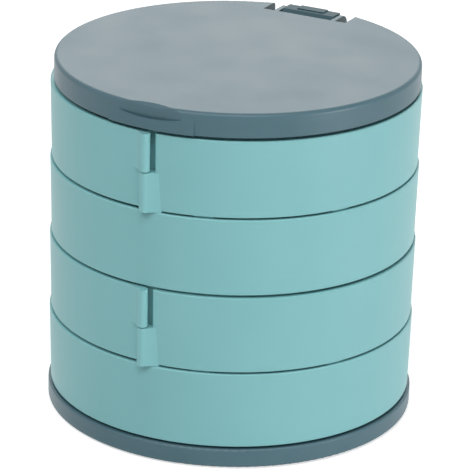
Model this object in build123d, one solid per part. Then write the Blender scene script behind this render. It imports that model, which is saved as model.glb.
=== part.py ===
# A round jewellery organiser: four cup trays that swing out one by one, and a hinged lid.
# Each tray turns about a pin at the front (-Y) or the back (+Y) of the wall that stands on the unit
# below it, so the open stack zigzags like a chain. Tray 1 is the top one.
# The frame: z = 0 is the surface that the feet stand on, and Z is the closed stack's axis.
from build123d import *
from math import asin, cos, degrees, radians, sin, sqrt
import os

# Trays, in mm
tray_radius = 52.5      # outside of a rim
tray_draft = 0.45       # how much smaller a wall is at its foot
wall = 1.8
floor = 1.6
layer_pitch = 22.7
layers = 4
tray_gap = 0.8          # shadow gap under a tray that swings
rim_round = 0.3
foot_round = 0.12
divider = 1.4
divider_drop = 3.0      # a divider stops this far below the rim
divider_turns = {1: (0, 90, 180, 270), 2: (0, 180, 270), 3: (90, 270), 4: ()}

# Hinge walls: the part of each layer's wall that stays with the unit below
hinge_wall_turn = 115.5
wall_seam = 0.65        # parting line under a hinge wall
recess_gap = 0.4        # between a hinge wall and the tray wall behind it
far_seam = 0.4          # between a hinge wall's far end and the tray

# Swing hinges
pivot_out = 0.5         # the pin's axis lies this far outside the rim
barrel_radius = 1.45
knuckle_share = 0.51    # the lower part of a layer's height belongs to the hinge wall's knuckle
knuckle_gap = 0.3       # between the barrel and the knuckle below it
knuckle_clear = 0.35    # round the knuckle, to the tray's wall
knuckle_lift = 0.1      # from the rim below to the knuckle
slot_end = 2.6          # the hinge wall's upper part starts this far from the pin
end_round = 0.7         # on the upright edges of that start
barrel_flare = 5.2      # reach of the fairing from the barrel to the tray's wall
knuckle_flare = 4.6     # reach of the fairing from the knuckle to the hinge wall
barrel_meet = 15        # where a barrel's fairing leaves its round, in degrees from the wall
knuckle_meet = 70       # the same on a knuckle
fairing_bow = 0.06      # how hollow a fairing is, as a share of its reach
pin_radius = 0.6
pin_run = 0.05          # running clearance round the pin in a barrel
pin_cap = 1.2           # closed end of the barrel over the pin
pin_recess = 0.4        # from the knuckle's foot up to the pin

# Lugs and screws that hold a hinge wall on the unit below
lug_turns = (18.0, 62.0, 104.0)   # from the pin, round the hinge wall
lug_width = 5.2
lug_thick = 1.4
lug_drop = 3.0          # from the rim to a lug's underside
lug_neck = 0.4          # how far a lug reaches under the wall above
lug_bite = 0.4          # and up into it
lug_clear = 0.2
column_radius = 2.6
column_inset = 2.4      # from the inside of the wall to a column's centre
screw_radius = 0.9
screw_length = 3.4      # under the head
screw_head_radius = 1.6
screw_head_height = 1.1
screw_hole_clear = 0.25
drive_width = 0.5
drive_length = 2.0
drive_depth = 0.6

# Base
base_overhang = 0.3     # beyond the trays' rims
base_height = 5.9       # from the ground to the deck
base_lift = 0.6         # from the ground to the skirt
base_round = 0.6
deck = 1.6
foot_radius = 5.0
foot_thick = 1.0
foot_inset = 12.8       # from the base's side to a foot's centre
foot_boss = 1.2         # a boss is this much wider than its foot
rib_inset = 22.8        # from the base's side to the round rib
rib = 1.4

# Lid
lid_inset = 0.8         # from the trays' rims to the lid's side
lid_gap = 1.1           # dark groove between the lid's side and the rim below
lid_height = 6.7
lid_round = 1.2
lid_wall = 1.5
lid_shift_x = 0.8       # the lid sits off the trays' axis, as its hinge lets it
lid_shift_y = -1.0
lip_slot = 1.2          # between the lid's side wall and the ring that closes the groove
lip_thick = 1.0
lid_rest = 0.2          # from the ring to the rim
mirror_thick = 1.8
tape_thick = 0.5
tape_inset = 2.0
mirror_ring = 1.0
mirror_ring_height = 1.6
mirror_clear = 0.3
mirror_back = 1.9       # from the mirror's ring to the pocket for the hinge
thumb_width = 26.0
thumb_out = 0.5         # the thumb lip's foot stands proud of the lid's side
thumb_height = 4.6      # where the lip has faded into the side
scoop_width = 19.0      # of the flat finger rest cut above the lip
ledge_height = 2.9      # from the lid's foot to the rest's ledge, at its middle
ledge_sag = 1.2         # the ledge curves up this much to its ends
ledge_slope = 30.0      # it falls inward, in degrees
dip_depth = 1.2         # shallow dip in the lid's top above the rest
dip_slope = 28.0        # its rise toward the middle of the lid, in degrees

# Lid hinge
lid_hinge_x = 0.4       # middle of the lid hinge
lid_pin_inset = 4.1     # from the lid's side to the pin's axis
lid_pin_drop = 3.1      # from the lid's top to the pin's axis; a lug has this radius too
lid_pin_radius = 0.7
lid_lug = 1.4
lid_lug_gap = 0.3
lid_notch = 3.4         # beside a lug
lid_pin_reach = 1.0     # into each lug
gusset = 1.8            # how far a lug runs forward under the lid
hinge_reach = 5.4       # from the pin's axis to the edge of the lid's pocket
hinge_clear = 0.3       # from the bracket to that edge
bracket_width = 16.4
bracket_back = 1.7      # from the pin's axis to the bracket's back
bracket_rise = 0.3      # the bracket's top stands above the lid's
bracket_under = 2.2     # from the pin's axis to the head's underside
nose_height = 0.9       # the nose is upright to this far above the axis
nose_slope = 2.4        # and falls back this far to the flat top
pad_width = 8.5
pad_rise = 0.3
pad_front = 1.4         # before the pin's axis
leg_thick = 2.4
bracket_foot = 6.4      # front to back
foot_behind = 1.0       # of the pin's axis
foot_ear = 6.3          # how far the foot reaches out beside the leg
foot_clear = 0.3        # from the foot to the tray's wall
ear_screw = 3.7         # from the leg's side to a screw

base_radius = tray_radius + base_overhang
foot_place = base_radius - foot_inset
rib_radius = base_radius - rib_inset
lid_radius = tray_radius - lid_inset
mirror_radius = lid_radius - lid_pin_inset - hinge_reach - mirror_back - mirror_ring - mirror_clear
rim_heights = {n: base_height + (layers + 1 - n) * layer_pitch for n in range(1, layers + 1)}
top_rim = rim_heights[1]
lid_low = top_rim + lid_gap
lid_top = lid_low + lid_height
pivot_radius = tray_radius + pivot_out
lug_floor_drop = lug_drop - lug_thick


def layer_foot(n):
    return rim_heights[n] - layer_pitch


def outside(z, foot_z):
    """Radius of a layer's outer face at height z."""
    return tray_radius - tray_draft * (1 - (z - foot_z) / layer_pitch)


def turned(solid, n):
    """Odd layers hinge at the front, even ones at the back."""
    return solid if n % 2 else Rot(0, 0, 180) * solid


def sector(profile, start, span):
    """Revolves an (r, z) profile about Z from one bearing through a span."""
    return Rot(0, 0, start) * revolve(Plane.XZ * profile, Axis.Z, span)


def rounded(face, corners, size):
    """Rounds the profile's corners that lie at the given points."""
    for corner in corners:
        near = face.vertices().sort_by_distance(corner)[0]
        face = fillet(near, size)
    return face


def post(radius, low, high, x=0.0, y=0.0):
    return Pos(x, y, low) * extrude(Circle(radius), high - low)


def polar(radius, turn):
    return radius * cos(radians(turn)), radius * sin(radians(turn))


def wall_face(foot_z, low, high, inset, thick):
    """The (r, z) section of a drafted wall that lies inset from the layer's outer face."""
    outer_low = outside(low, foot_z) - inset
    outer_high = outside(high, foot_z) - inset
    points = [(outer_low - thick, low), (outer_low, low)]
    points += [(outer_high, high), (outer_high - thick, high)]
    face = Polygon(*points, align=None)
    rim_size = min(rim_round, 0.4 * thick)
    foot_size = min(foot_round, 0.3 * thick)
    return rounded(rounded(face, points[2:], rim_size), points[1:2], foot_size)


def cup_face(foot_z, low, high, inset):
    """The (r, z) section of a cup: its floor and its drafted wall."""
    outer_low = outside(low, foot_z) - inset
    outer_high = outside(high, foot_z) - inset
    inner_low = outside(low + floor, foot_z) - inset - wall
    points = [(0, low), (outer_low, low), (outer_high, high), (outer_high - wall, high)]
    points += [(inner_low, low + floor), (0, low + floor)]
    face = Polygon(*points, align=None)
    rim_size = min(rim_round, 0.4 * wall)
    foot_size = min(foot_round, 0.3 * wall)
    return rounded(rounded(face, points[2:4], rim_size), points[1:2], foot_size)


def fairing(side, reach, meet_turn, surface_radius):
    """Plan of the web that carries a barrel's round out to the wall, on one side of the pin."""
    pin = (0, -pivot_radius)
    across, out = polar(barrel_radius, meet_turn)
    meet = (side * across, -pivot_radius - out)
    land = (side * reach, -sqrt(surface_radius ** 2 - reach ** 2))
    back = (side * reach, land[1] + 0.5 * wall)
    root = (0, -surface_radius + wall)
    middle = (0.5 * (meet[0] + land[0]), 0.5 * (meet[1] + land[1]) + fairing_bow * reach)
    edges = [ThreePointArc(meet, middle, land), Line(land, back), Line(back, root)]
    edges += [Line(root, pin), Line(pin, meet)]
    return make_face(edges)


def bare_wall(foot_z, low, high, start, span):
    """A drafted wall whose first end is rounded, and then its rim."""
    points = [(outside(low, foot_z) - wall, low), (outside(low, foot_z), low)]
    points += [(outside(high, foot_z), high), (outside(high, foot_z) - wall, high)]
    shell = sector(Polygon(*points, align=None), start, span)
    near = Vector(*polar(tray_radius, start), 0.5 * (low + high))
    lines = shell.edges().filter_by(GeomType.LINE)
    uprights = lines.filter_by(lambda edge: abs(edge.tangent_at(0.5).Z) > 0.9)
    shell = fillet(uprights.sort_by_distance(near)[:2], end_round)
    return fillet(shell.faces().sort_by(Axis.Z)[-1].edges(), rim_round)


def split_height(n):
    return layer_foot(n) + knuckle_share * layer_pitch


def lug_place(turn):
    """Centre of a lug's screw, for a hinge wall whose pin is at the front."""
    return polar(tray_radius - wall - column_inset, -90 + turn)


def screw(head_z):
    """A small cross-recessed screw, its head's underside at head_z."""
    body = post(screw_radius, head_z - screw_length, head_z)
    head = post(screw_head_radius, head_z, head_z + screw_head_height)
    head = fillet(head.edges().group_by(Axis.Z)[-1], 0.4 * screw_head_height)
    slot = Box(drive_length, drive_width, 2 * drive_depth)
    cross = slot + Rot(0, 0, 90) * slot
    return body + head - Pos(0, 0, head_z + screw_head_height) * cross


def tray(n):
    foot_z = layer_foot(n)
    low = foot_z + tray_gap
    rim = rim_heights[n]
    split = split_height(n)
    recess = wall + recess_gap
    far_turn = -90 + hinge_wall_turn + degrees(far_seam / tray_radius)
    near_turn = 270 - degrees(asin((barrel_radius + 0.5 * knuckle_clear) / tray_radius))
    web_turn = degrees(wall / tray_radius)

    cup = sector(cup_face(foot_z, low, rim, 0), far_turn, near_turn - far_turn)
    inner_span = far_turn + 360 - near_turn + 2 * web_turn
    cup += sector(cup_face(foot_z, low, rim, recess), near_turn - web_turn, inner_span)
    web = wall_face(foot_z, low, rim, 0, wall + recess)
    cup += sector(web, far_turn, web_turn)
    cup += sector(web, near_turn - web_turn, web_turn)

    lobe_low = split + 0.5 * knuckle_gap
    cup -= post(barrel_radius + knuckle_clear, low - 1, lobe_low, 0, -pivot_radius)
    surface = outside(split, foot_z)
    plan = Pos(0, -pivot_radius) * Circle(barrel_radius) + fairing(-1, barrel_flare, barrel_meet, surface)
    cup += Pos(0, 0, lobe_low) * extrude(plan, rim - lobe_low)
    cup -= post(pin_radius + pin_run, lobe_low - 1, rim - pin_cap, 0, -pivot_radius)

    reach = outside(low, foot_z) - 0.5 * wall
    divider_high = rim - divider_drop
    inner_reach = reach - recess
    for turn in divider_turns[n]:
        behind = turn < far_turn or turn >= near_turn
        length = inner_reach if behind else reach
        plate = Box(length, divider, divider_high - low)
        cup += Rot(0, 0, turn) * Pos(0.5 * length, 0, 0.5 * (low + divider_high)) * plate
    cup = turned(cup, n)

    if n > 1:
        column_high = rim - lug_drop
        for turn in lug_turns:
            cup += turned(post(column_radius, low + 0.5 * floor, column_high, *lug_place(turn)), n - 1)
        cup -= lug_pockets(n - 1)
        for turn in lug_turns:
            x, y = lug_place(turn)
            cup -= turned(post(screw_radius, column_high - screw_length, column_high, x, y), n - 1)
    else:
        cup += bracket_columns(low)
        for x, y in bracket_screw_places():
            cup -= post(screw_radius, rim - lug_drop - screw_length, rim - lug_drop, x, y)
    return cup


def lug_shape(grow, low, high, neck_low, neck_high):
    """A pad round the screw and a neck up into the wall, for a lug that points along +X."""
    centre = tray_radius - wall - column_inset
    tip = tray_radius - wall + lug_neck
    pad = Circle(0.5 * lug_width + grow)
    strip = Pos(0.5 * (tip - centre), 0) * Rectangle(tip - centre + 2 * grow, lug_width + 2 * grow)
    pad = Pos(0, 0, low) * extrude(pad + strip, high - low)
    inner = tray_radius - wall - tray_draft - grow
    neck = Pos(0.5 * (inner + tip + grow) - centre, 0, neck_low)
    neck *= extrude(Rectangle(tip + grow - inner, lug_width + 2 * grow), neck_high - neck_low)
    return Pos(centre, 0, 0) * (pad + neck)


def lug_pockets(n):
    """Room for the lugs of hinge wall n in the unit below it."""
    rim = layer_foot(n)
    low = rim - lug_drop
    cuts = []
    for turn in lug_turns:
        shape = lug_shape(lug_clear, low, rim + 1, low, rim + 1)
        cuts.append(turned(Rot(0, 0, -90 + turn) * shape, n))
    return cuts


def hinge_wall(n):
    foot_z = layer_foot(n)
    low = foot_z + wall_seam
    rim = rim_heights[n]
    split = split_height(n)
    knuckle_high = split - 0.5 * knuckle_gap
    start = degrees(asin(slot_end / tray_radius))

    shell = bare_wall(foot_z, low, rim, -90 + start, hinge_wall_turn - start)
    lower = wall_face(foot_z, low, knuckle_high, 0, wall)
    shell += sector(lower, -90, start + degrees(wall / tray_radius))
    surface = outside(low, foot_z)
    plan = Pos(0, -pivot_radius) * Circle(barrel_radius) + fairing(1, knuckle_flare, knuckle_meet, surface)
    knuckle_low = foot_z + knuckle_lift
    shell += Pos(0, 0, knuckle_low) * extrude(plan, knuckle_high - knuckle_low)
    shell -= post(pin_radius, knuckle_low - 1, knuckle_high + 1, 0, -pivot_radius)

    lug_low = foot_z - lug_drop
    lug_high = lug_low + lug_thick
    for turn in lug_turns:
        lug = lug_shape(0, lug_low, lug_high, lug_low, low + lug_bite)
        hole = post(screw_radius + screw_hole_clear, lug_low - 1, lug_high + 1)
        lug -= Pos(tray_radius - wall - column_inset, 0, 0) * hole
        shell += Rot(0, 0, -90 + turn) * lug
    return turned(shell, n)


def pivot_pin(n):
    low = layer_foot(n) + knuckle_lift + pin_recess
    high = rim_heights[n] - pin_cap - pin_recess
    pin = post(pin_radius, low, high, 0, -pivot_radius)
    return turned(chamfer(pin.edges().filter_by(GeomType.CIRCLE), 0.2 * pin_radius), n)


def wall_screws(n):
    head_z = layer_foot(n) - lug_floor_drop
    screws = []
    for turn in lug_turns:
        x, y = lug_place(turn)
        screws.append(turned(Pos(x, y, 0) * screw(head_z), n))
    return Compound(children=screws)


def foot_places():
    return [polar(foot_place, turn) for turn in (45, 135, 225, 315)]


def base_shell():
    inner = base_radius - wall
    under_deck = base_height - deck
    points = [(0, under_deck), (inner, under_deck), (inner, base_lift), (base_radius, base_lift)]
    points += [(base_radius, base_height), (0, base_height)]
    face = rounded(Polygon(*points, align=None), points[3:5], min(base_round, 0.4 * wall))
    shell = sector(face, 0, 360)
    ring = Circle(rib_radius) - Circle(rib_radius - rib)
    shell += Pos(0, 0, base_lift) * extrude(ring, under_deck - base_lift + 0.5 * deck)
    for turn in range(0, 180, 45):
        plate = Box(2 * (inner + 0.5 * wall), rib, under_deck - base_lift + 0.5 * deck)
        shell += Rot(0, 0, turn) * Pos(0, 0, 0.5 * (base_lift + under_deck + 0.5 * deck)) * plate
    for x, y in foot_places():
        shell -= post(foot_radius + foot_boss, 0, under_deck, x, y)
        shell += post(foot_radius + foot_boss, foot_thick, under_deck + 0.5 * deck, x, y)
    for turn in lug_turns:
        x, y = lug_place(turn)
        shell += turned(post(column_radius + wall, base_lift, base_height - 0.5 * deck, x, y), layers)
    shell -= lug_pockets(layers)
    for turn in lug_turns:
        x, y = lug_place(turn)
        hole = post(screw_radius, base_lift - 1, base_height - lug_drop + 1, x, y)
        shell -= turned(hole, layers)
    return shell


def base_feet():
    feet = []
    for x, y in foot_places():
        pad = post(foot_radius, 0, foot_thick, x, y)
        feet.append(fillet(pad.edges().group_by(Axis.Z)[0], 0.3 * foot_thick))
    return Compound(children=feet)


# Lid hinge: its axis runs along X through (lid_hinge_x, hinge_y, hinge_z)
hinge_y = lid_shift_y + lid_radius - lid_pin_inset
hinge_z = lid_top - lid_pin_drop
pocket_y = hinge_y - hinge_reach
bracket_low = top_rim - lug_drop


def along_x(radius, low_x, high_x):
    """A round bar on the lid hinge's axis."""
    bar = extrude(Circle(radius), high_x - low_x)
    return Pos(lid_hinge_x + low_x, hinge_y, hinge_z) * Rot(0, 90, 0) * bar


def side_plate(face, low_x, high_x):
    """A plate across the lid hinge, from its outline drawn in (y, z)."""
    return Pos(lid_hinge_x + low_x, 0, 0) * extrude(Plane.YZ * face, high_x - low_x)


def side_box(low_y, high_y, low_z, high_z):
    """An upright rectangle in (y, z)."""
    return Pos(0.5 * (low_y + high_y), 0.5 * (low_z + high_z)) * Rectangle(high_y - low_y, high_z - low_z)


def ear_face():
    """Side outline of a lid lug: flush with the lid's top, round behind, with a gusset in front."""
    low = hinge_z - lid_pin_drop
    front = pocket_y - gusset
    tip = (hinge_y + lid_pin_drop, hinge_z)
    edges = [Line((front, lid_top), (hinge_y, lid_top))]
    edges += [ThreePointArc((hinge_y, lid_top), tip, (hinge_y, low))]
    under = (front, lid_top - wall - 1)
    edges += Polyline((hinge_y, low), (pocket_y, low), under, (front, lid_top)).edges()
    return make_face(edges)


def arc_drum(half_width, sag):
    """A round bar along Y, resting on the origin, whose foot rises by sag over half its width."""
    radius = 0.5 * (half_width ** 2 / sag + sag)
    return Pos(0, 0, radius) * Rot(90, 0, 0) * Cylinder(radius, lid_radius)


def finger_rest():
    """What the thumb's place takes out of the lid: a flat over a curved ledge, and a dip in the top."""
    half = 0.5 * scoop_width
    chord = sqrt(lid_radius ** 2 - half ** 2)
    slab = Pos(0, -chord - 0.5 * lid_wall, lid_low) * Box(scoop_width, lid_wall, 4 * lid_height)
    ledge_place = Pos(0, -lid_radius, lid_low + ledge_height) * Rot(-ledge_slope, 0, 0)
    ledge = ledge_place * arc_drum(half, ledge_sag)
    dip = Pos(0, -lid_radius, lid_top - dip_depth) * Rot(dip_slope, 0, 0) * arc_drum(half, dip_depth)
    return slab & ledge, dip


def lid_shell():
    inner = lid_radius - lid_wall
    under = lid_top - wall
    lip_out = inner - lip_slot
    lip_in = lip_out - lip_thick
    lip_low = top_rim + lid_rest
    points = [(0, under), (lip_in, under), (lip_in, lip_low), (lip_out, lip_low), (lip_out, under)]
    points += [(inner, under), (inner, lid_low), (lid_radius, lid_low), (lid_radius, lid_top), (0, lid_top)]
    face = rounded(Polygon(*points, align=None), points[8:9], lid_round)
    shell = sector(face, 0, 360)

    ring_in = mirror_radius + mirror_clear
    ring = Circle(ring_in + mirror_ring) - Circle(ring_in)
    ring_low = under - mirror_ring_height
    shell += Pos(0, 0, ring_low) * extrude(ring, under - ring_low + 0.5 * wall)

    half_turn = degrees(asin(0.5 * thumb_width / lid_radius))
    root = lid_radius - 0.5 * lid_wall
    lip_points = [(root, lid_low), (lid_radius + thumb_out, lid_low), (lid_radius, lid_low + thumb_height)]
    lip_points += [(root, lid_low + thumb_height)]
    shell += sector(Polygon(*lip_points, align=None), -90 - half_turn, 2 * half_turn)
    shell -= finger_rest()

    shell = Pos(lid_shift_x, lid_shift_y, 0) * shell
    lug_in = 0.5 * bracket_width + lid_lug_gap
    lug_out = lug_in + lid_lug
    back = hinge_y + lid_pin_drop + 1
    pocket_half = lug_out + lid_notch
    shell -= side_plate(side_box(pocket_y, back, top_rim, lid_top + 1), -pocket_half, pocket_half)
    lip_end = pocket_y - lid_pin_drop
    shell -= side_plate(side_box(lip_end, back, top_rim, lid_low), -lid_radius, lid_radius)

    for side in (-1, 1):
        span = sorted((side * lug_in, side * lug_out))
        shell += side_plate(ear_face(), *span)
        reach = sorted((side * (lug_in - 1), side * (lug_in + lid_pin_reach)))
        shell -= along_x(lid_pin_radius + pin_run, *reach)
    return shell


def lid_mirror():
    high = lid_top - wall - tape_thick
    glass = post(mirror_radius, high - mirror_thick, high, lid_shift_x, lid_shift_y)
    return chamfer(glass.edges().group_by(Axis.Z)[0], 0.3 * mirror_thick)


def mirror_tape():
    high = lid_top - wall
    return post(mirror_radius - tape_inset, high - tape_thick, high, lid_shift_x, lid_shift_y)


def bracket_screw_places():
    x = 0.5 * bracket_width + ear_screw
    y = hinge_y + foot_behind - 0.5 * bracket_foot
    return [(lid_hinge_x - x, y), (lid_hinge_x + x, y)]


def bracket_columns(low):
    """Columns inside the top tray for the lid bracket, each with a web to the wall."""
    solids = []
    for x, y in bracket_screw_places():
        high = top_rim - lug_drop
        base = low + 0.5 * floor
        wall_y = sqrt((tray_radius - 0.5 * wall - tray_draft) ** 2 - x ** 2)
        web = Pos(x, 0.5 * (y + wall_y), 0.5 * (base + high)) * Box(divider, wall_y - y, high - base)
        solids.append(post(column_radius, base, high, x, y) + web)
    return solids


def head_face():
    """Side outline of the bracket's head: flat on top, with a nose that slopes back from the lid's edge."""
    nose = pocket_y + hinge_clear
    back = hinge_y + bracket_back
    top = lid_top + bracket_rise
    low = hinge_z - bracket_under
    points = [(back, low), (back, top), (nose + nose_slope, top), (nose, hinge_z + nose_height)]
    points += [(nose, hinge_z), (nose + nose_slope, low)]
    return Polygon(*points, align=None)


def lid_bracket():
    half = 0.5 * bracket_width
    back = hinge_y + bracket_back
    top = lid_top + bracket_rise
    shape = side_plate(head_face(), -half, half)
    pad = side_box(hinge_y - pad_front, back, hinge_z, top + pad_rise)
    shape += side_plate(pad, -0.5 * pad_width, 0.5 * pad_width)
    shape += side_plate(side_box(back - leg_thick, back, bracket_low, hinge_z), -half, half)
    foot_back = hinge_y + foot_behind
    foot = side_box(foot_back - bracket_foot, foot_back, bracket_low, bracket_low + lug_thick)
    tray_inside = outside(bracket_low, layer_foot(1)) - wall
    room = post(tray_inside - foot_clear, bracket_low - 1, bracket_low + lug_thick + 1)
    shape += side_plate(foot, -half - foot_ear, half + foot_ear) & room
    shape -= along_x(lid_pin_radius, -half - 1, half + 1)
    for x, y in bracket_screw_places():
        shape -= post(screw_radius + screw_hole_clear, bracket_low - 1, bracket_low + lug_thick + 1, x, y)
    return shape


def lid_hinge_pin():
    reach = 0.5 * bracket_width + lid_lug_gap + lid_pin_reach - 0.1
    pin = along_x(lid_pin_radius, -reach, reach)
    return chamfer(pin.edges().filter_by(GeomType.CIRCLE), 0.2 * lid_pin_radius)


def bracket_screws():
    head_z = bracket_low + lug_thick
    return Compound(children=[Pos(x, y, 0) * screw(head_z) for x, y in bracket_screw_places()])


def nodes():
    made = {"base_shell": base_shell(), "base_feet": base_feet()}
    for n in range(1, layers + 1):
        made[f"tray_{n}"] = tray(n)
        made[f"hinge_wall_{n}"] = hinge_wall(n)
        made[f"pivot_pin_{n}"] = pivot_pin(n)
        made[f"wall_screws_{n}"] = wall_screws(n)
    made["lid_bracket"] = lid_bracket()
    made["lid_hinge_pin"] = lid_hinge_pin()
    made["bracket_screws"] = bracket_screws()
    made["lid_shell"] = lid_shell()
    made["lid_mirror"] = lid_mirror()
    made["mirror_tape"] = mirror_tape()
    return made


os.makedirs("parts", exist_ok=True)
for name, shape in nodes().items():
    export_step(shape, f"parts/{name}.step")
    print(name, round(shape.volume, 1))
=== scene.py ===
# Looks of a four-layer swivel organiser with a hinged lid. Sizes in metres.
import math
import bpy
from mathutils import Matrix, Vector

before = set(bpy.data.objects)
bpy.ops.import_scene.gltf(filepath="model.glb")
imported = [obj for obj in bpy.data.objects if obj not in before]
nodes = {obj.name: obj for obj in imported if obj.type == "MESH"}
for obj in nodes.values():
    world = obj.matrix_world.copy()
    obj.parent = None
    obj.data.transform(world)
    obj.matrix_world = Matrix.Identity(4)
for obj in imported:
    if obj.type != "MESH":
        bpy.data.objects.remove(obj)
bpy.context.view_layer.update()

scene = bpy.context.scene
print("frame loaded:", len(nodes), "nodes")

# The photograph's view: a long lens, a little above the lid, turned a touch clockwise.
photoView = {
    "azimuth": 27.2,         # degrees round from the front hinges
    "elevation": 21.18,
    "distance": 0.90995,
    "aimHeight": 0.0525,
    "lens": 242.56,
    "sensor": 36.0,
    "roll": 1.5,
    "panPixels": -2.0,
    "tiltPixels": -10.1,
    "framePixels": 470,
    "farClip": 20.0,
}


def fromBearing(azimuth, elevation):
    flat = math.cos(elevation)
    return Vector((math.sin(azimuth) * flat, -math.cos(azimuth) * flat, math.sin(elevation)))


def addCamera(view):
    azimuth = math.radians(view["azimuth"])
    roll = math.radians(view["roll"])
    back = fromBearing(azimuth, math.radians(view["elevation"]))
    right = Vector((math.cos(azimuth), math.sin(azimuth), 0))
    up = back.cross(right)
    focalPixels = view["lens"] / view["sensor"] * view["framePixels"]
    rolledRight = math.cos(roll) * right + math.sin(roll) * up
    rolledUp = math.cos(roll) * up - math.sin(roll) * right
    pan = Matrix.Rotation(math.atan(view["panPixels"] / focalPixels), 3, rolledUp)
    tilt = Matrix.Rotation(math.atan(view["tiltPixels"] / focalPixels), 3, rolledRight)
    turn = pan @ tilt
    axes = [turn @ rolledRight, turn @ rolledUp, turn @ back]
    pose = Matrix((axes[0], axes[1], axes[2])).transposed().to_4x4()
    pose.translation = back * view["distance"] + Vector((0, 0, view["aimHeight"]))
    data = bpy.data.cameras.new("photoCamera")
    data.lens = view["lens"]
    data.sensor_width = view["sensor"]
    data.clip_end = view["farClip"]
    camera = bpy.data.objects.new("photoCamera", data)
    camera.matrix_world = pose
    scene.collection.objects.link(camera)
    scene.camera = camera


addCamera(photoView)
print("camera placed")

# Node helpers


def feed(tree, value, socket):
    if isinstance(value, (int, float)):
        socket.default_value = value
    else:
        tree.links.new(value, socket)


def addMath(tree, operation, first, second=0.0):
    node = tree.nodes.new("ShaderNodeMath")
    node.operation = operation
    feed(tree, first, node.inputs[0])
    feed(tree, second, node.inputs[1])
    return node.outputs[0]


def spread(tree, value, low, high, toLow, toHigh):
    node = tree.nodes.new("ShaderNodeMapRange")
    tree.links.new(value, node.inputs["Value"])
    node.inputs["From Min"].default_value = low
    node.inputs["From Max"].default_value = high
    node.inputs["To Min"].default_value = toLow
    node.inputs["To Max"].default_value = toHigh
    return node.outputs["Result"]


def mixColors(tree, factor, first, second):
    mix = tree.nodes.new("ShaderNodeMix")
    mix.data_type = "RGBA"
    tree.links.new(factor, mix.inputs["Factor"])
    mix.inputs["A"].default_value = (*first, 1)
    mix.inputs["B"].default_value = (*second, 1)
    return mix.outputs["Result"]


def addNoise(tree, scale, detail, vector):
    stretch = tree.nodes.new("ShaderNodeVectorMath")
    stretch.operation = "SCALE"
    tree.links.new(vector, stretch.inputs[0])
    feed(tree, scale, stretch.inputs["Scale"])
    noise = tree.nodes.new("ShaderNodeTexNoise")
    noise.inputs["Scale"].default_value = 1.0
    noise.inputs["Detail"].default_value = detail
    tree.links.new(stretch.outputs[0], noise.inputs["Vector"])
    return noise.outputs["Fac"]


floatSocket = "NodeSocketFloat"


def newGroup(name, inputs, outputs):
    group = bpy.data.node_groups.new(name, "ShaderNodeTree")
    for title, value in inputs:
        socket = group.interface.new_socket(name=title, in_out="INPUT", socket_type=floatSocket)
        socket.default_value = value
    for title in outputs:
        group.interface.new_socket(name=title, in_out="OUTPUT", socket_type=floatSocket)
    return group, group.nodes.new("NodeGroupInput"), group.nodes.new("NodeGroupOutput")


def placeGroup(tree, group, values):
    node = tree.nodes.new("ShaderNodeGroup")
    node.node_tree = group
    for title, value in values.items():
        node.inputs[title].default_value = value
    return node


# Shared effects: a mould's spark-eroded grain with a faint haze of flow in it, and turned metal
noiseRange = (0.3, 0.7)      # where most of a noise's values lie
grainEffect = {
    "grainScale": 2400.0,
    "hazeScale": 34.0,
    "fineScale": 2.7,        # times the scale of the coarse grain
    "coarseShare": 0.65,
    "fineShare": 0.35,
    "detail": 2.0,
    "hazeDetail": 4.0,
}
metalEffect = {
    "lineScale": 6000.0,
    "squash": (0.02, 0.02, 1.0),
    "detail": 3.0,
}


def mouldGrainGroup(effect):
    sockets = [("Grain Scale", effect["grainScale"]), ("Haze Scale", effect["hazeScale"])]
    group, start, end = newGroup("mouldGrain", sockets, ["Grain", "Haze"])
    place = group.nodes.new("ShaderNodeTexCoord").outputs["Object"]
    coarseScale = start.outputs["Grain Scale"]
    fineScale = addMath(group, "MULTIPLY", coarseScale, effect["fineScale"])
    coarse = addNoise(group, coarseScale, effect["detail"], place)
    fine = addNoise(group, fineScale, effect["detail"], place)
    coarsePart = addMath(group, "MULTIPLY", coarse, effect["coarseShare"])
    finePart = addMath(group, "MULTIPLY", fine, effect["fineShare"])
    haze = addNoise(group, start.outputs["Haze Scale"], effect["hazeDetail"], place)
    group.links.new(addMath(group, "ADD", coarsePart, finePart), end.inputs["Grain"])
    group.links.new(spread(group, haze, *noiseRange, 0, 1), end.inputs["Haze"])
    return group


def turnedMetalGroup(effect):
    sockets = [("Line Scale", effect["lineScale"])]
    group, start, end = newGroup("turnedMetal", sockets, ["Lines"])
    place = group.nodes.new("ShaderNodeTexCoord").outputs["Object"]
    squash = group.nodes.new("ShaderNodeVectorMath")
    squash.operation = "MULTIPLY"
    squash.inputs[1].default_value = effect["squash"]
    group.links.new(place, squash.inputs[0])
    lines = addNoise(group, start.outputs["Line Scale"], effect["detail"], squash.outputs[0])
    group.links.new(lines, end.inputs["Lines"])
    return group


mouldGrain = mouldGrainGroup(grainEffect)
turnedMetal = turnedMetalGroup(metalEffect)


def newMaterial(name):
    material = bpy.data.materials.new(name)
    material.use_nodes = True
    return material, material.node_tree, material.node_tree.nodes["Principled BSDF"]


def addBump(tree, shader, height, strength, depth):
    bump = tree.nodes.new("ShaderNodeBump")
    bump.inputs["Strength"].default_value = strength
    bump.inputs["Distance"].default_value = depth
    tree.links.new(height, bump.inputs["Height"])
    tree.links.new(bump.outputs["Normal"], shader.inputs["Normal"])


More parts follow.
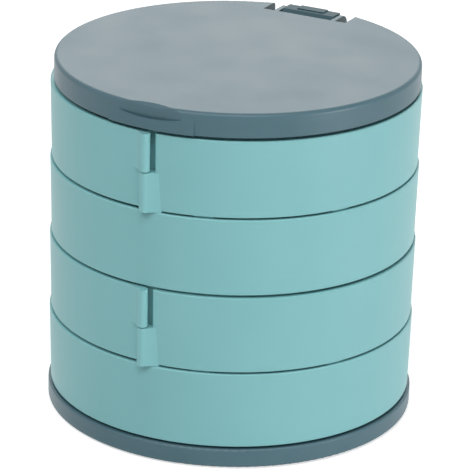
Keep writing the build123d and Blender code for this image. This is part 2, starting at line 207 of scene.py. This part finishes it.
def plasticMaterial(name, look):
    material, tree, shader = newMaterial(name)
    scales = {"Grain Scale": look["grainScale"], "Haze Scale": look["hazeScale"]}
    effect = placeGroup(tree, mouldGrain, scales)
    haze = effect.outputs["Haze"]
    color = mixColors(tree, haze, look["color"], look["hazeColor"])
    roughness = spread(tree, haze, 0, 1, look["roughLow"], look["roughHigh"])
    tree.links.new(color, shader.inputs["Base Color"])
    tree.links.new(roughness, shader.inputs["Roughness"])
    addBump(tree, shader, effect.outputs["Grain"], look["bumpStrength"], look["bumpDepth"])
    shader.inputs["Specular IOR Level"].default_value = look["specular"]
    return material


def dress(material, *names):
    for name in names:
        mesh = nodes[name].data
        mesh.materials.clear()
        mesh.materials.append(material)


# Trays and hinge walls: satin mint
mintLook = {
    "color": (0.212, 0.487, 0.505),
    "hazeColor": (0.228, 0.508, 0.528),
    "grainScale": 2400.0,
    "hazeScale": 34.0,
    "roughLow": 0.37,
    "roughHigh": 0.45,
    "bumpStrength": 0.32,
    "bumpDepth": 0.00004,
    "specular": 0.36,
}
mintPlastic = plasticMaterial("mintPlastic", mintLook)
for layer in (1, 2, 3, 4):
    dress(mintPlastic, f"tray_{layer}", f"hinge_wall_{layer}")

# Base and lid: satin slate
slateLook = {
    "color": (0.060, 0.130, 0.160),
    "hazeColor": (0.072, 0.146, 0.178),
    "grainScale": 2200.0,
    "hazeScale": 60.0,
    "roughLow": 0.37,
    "roughHigh": 0.44,
    "bumpStrength": 0.34,
    "bumpDepth": 0.00004,
    "specular": 0.38,
}
dress(plasticMaterial("slatePlastic", slateLook), "base_shell", "lid_shell")

# Lid bracket: a darker, duller slate
bracketLook = {
    "color": (0.036, 0.086, 0.104),
    "hazeColor": (0.042, 0.095, 0.114),
    "grainScale": 2000.0,
    "hazeScale": 60.0,
    "roughLow": 0.52,
    "roughHigh": 0.60,
    "bumpStrength": 0.3,
    "bumpDepth": 0.00005,
    "specular": 0.28,
}
dress(plasticMaterial("bracketPlastic", bracketLook), "lid_bracket")
print("plastics dressed")

# Rubber feet
rubberLook = {
    "color": (0.026, 0.027, 0.028),
    "hazeColor": (0.040, 0.041, 0.042),
    "grainScale": 1500.0,
    "hazeScale": 200.0,
    "roughLow": 0.78,
    "roughHigh": 0.92,
    "bumpStrength": 0.5,
    "bumpDepth": 0.00006,
    "specular": 0.3,
}
dress(plasticMaterial("footRubber", rubberLook), "base_feet")

# Foam tape behind the mirror
foamLook = {
    "color": (0.66, 0.65, 0.61),
    "hazeColor": (0.74, 0.73, 0.69),
    "grainScale": 3800.0,
    "hazeScale": 900.0,
    "roughLow": 0.90,
    "roughHigh": 0.98,
    "bumpStrength": 0.8,
    "bumpDepth": 0.00012,
    "specular": 0.15,
}
dress(plasticMaterial("foamTape", foamLook), "mirror_tape")

# Mirror: silvered below, green glass round its edge
mirrorLook = {
    "silver": (0.90, 0.92, 0.92),
    "glassEdge": (0.10, 0.26, 0.20),
    "roughness": 0.015,
    "edgeRoughness": 0.30,
    "flatLow": 0.80,         # how level a face is before the silver starts
    "flatHigh": 0.95,
}


def mirrorMaterial(look):
    material, tree, shader = newMaterial("mirrorGlass")
    geometry = tree.nodes.new("ShaderNodeNewGeometry")
    inPiece = tree.nodes.new("ShaderNodeVectorTransform")   # so the silver turns with the lid
    inPiece.vector_type = "NORMAL"
    inPiece.convert_from = "WORLD"
    inPiece.convert_to = "OBJECT"
    parts = tree.nodes.new("ShaderNodeSeparateXYZ")
    tree.links.new(geometry.outputs["True Normal"], inPiece.inputs[0])
    tree.links.new(inPiece.outputs[0], parts.inputs[0])
    level = addMath(tree, "ABSOLUTE", parts.outputs["Z"])
    flat = spread(tree, level, look["flatLow"], look["flatHigh"], 0, 1)
    color = mixColors(tree, flat, look["glassEdge"], look["silver"])
    roughness = spread(tree, flat, 0, 1, look["edgeRoughness"], look["roughness"])
    tree.links.new(color, shader.inputs["Base Color"])
    tree.links.new(roughness, shader.inputs["Roughness"])
    tree.links.new(flat, shader.inputs["Metallic"])
    return material


dress(mirrorMaterial(mirrorLook), "lid_mirror")

# Pins and screws: nickelled steel
steelLook = {
    "color": (0.56, 0.55, 0.53),
    "lineScale": 6000.0,
    "roughLow": 0.24,
    "roughHigh": 0.36,
    "bumpStrength": 0.25,
    "bumpDepth": 0.00002,
}


def steelMaterial(look):
    material, tree, shader = newMaterial("turnedSteel")
    lines = placeGroup(tree, turnedMetal, {"Line Scale": look["lineScale"]}).outputs["Lines"]
    shader.inputs["Base Color"].default_value = (*look["color"], 1)
    shader.inputs["Metallic"].default_value = 1.0
    roughness = spread(tree, lines, *noiseRange, look["roughLow"], look["roughHigh"])
    tree.links.new(roughness, shader.inputs["Roughness"])
    addBump(tree, shader, lines, look["bumpStrength"], look["bumpDepth"])
    return material


steel = steelMaterial(steelLook)
dress(steel, "lid_hinge_pin", "bracket_screws")
for layer in (1, 2, 3, 4):
    dress(steel, f"pivot_pin_{layer}", f"wall_screws_{layer}")
print("metal, mirror, foam and rubber dressed")

# White table and soft lights. A light's values are its bearing round from the camera and its
# elevation in degrees, its distance and size in metres, and its power in watts.
studio = {
    "floorRadius": 6.0,
    "floorSides": 96,
    "floorColor": (0.80, 0.80, 0.80),
    "floorRoughness": 0.95,
    "floorGlow": 0.62,
    "worldStrength": 0.12,
    "backdropStrength": 1.0,
    "fillLight": (-48, 44, 1.4, 0.7, 6.6),
    "frontLight": (4, 55, 1.4, 0.7, 7.2),
    "streakLight": (60, 4, 0.7, 0.14, 2.0),
    "backLight": (180, 34, 1.3, 1.1, 5.0),
}


def seenBackdrop(tree):
    path = tree.nodes.new("ShaderNodeLightPath")
    seen = addMath(tree, "MAXIMUM", path.outputs["Is Camera Ray"], path.outputs["Is Glossy Ray"])
    return addMath(tree, "MAXIMUM", seen, path.outputs["Is Transmission Ray"])


def addFloor(look):
    sides = look["floorSides"]
    radius = look["floorRadius"]
    bpy.ops.mesh.primitive_circle_add(vertices=sides, radius=radius, fill_type="NGON")
    floor = bpy.context.object
    floor.name = "whiteTable"
    material, tree, shader = newMaterial("whitePaper")
    shader.inputs["Base Color"].default_value = (*look["floorColor"], 1)
    shader.inputs["Roughness"].default_value = look["floorRoughness"]
    shader.inputs["Specular IOR Level"].default_value = 0.0
    shader.inputs["Emission Color"].default_value = (1, 1, 1, 1)
    glow = spread(tree, seenBackdrop(tree), 0, 1, 0, look["floorGlow"])
    tree.links.new(glow, shader.inputs["Emission Strength"])
    floor.data.materials.append(material)


def addWorld(look):
    world = bpy.data.worlds.new("studioWorld")
    world.use_nodes = True
    tree = world.node_tree
    background = tree.nodes["Background"]
    background.inputs["Color"].default_value = (1, 1, 1, 1)
    seen = seenBackdrop(tree)
    strength = spread(tree, seen, 0, 1, look["worldStrength"], look["backdropStrength"])
    tree.links.new(strength, background.inputs["Strength"])
    scene.world = world


def addLight(name, bearing, elevation, distance, size, power):
    toLamp = fromBearing(math.radians(photoView["azimuth"] + bearing), math.radians(elevation))
    data = bpy.data.lights.new(name, "AREA")
    data.shape = "DISK"
    data.size = size
    data.energy = power
    lamp = bpy.data.objects.new(name, data)
    lamp.location = toLamp * distance + Vector((0, 0, photoView["aimHeight"]))
    lamp.rotation_euler = toLamp.to_track_quat("Z", "Y").to_euler()
    scene.collection.objects.link(lamp)


addFloor(studio)
addWorld(studio)
for lamp in ("fillLight", "frontLight", "streakLight", "backLight"):
    addLight(lamp, *studio[lamp])
scene.view_settings.view_transform = "Standard"
print("studio lit")
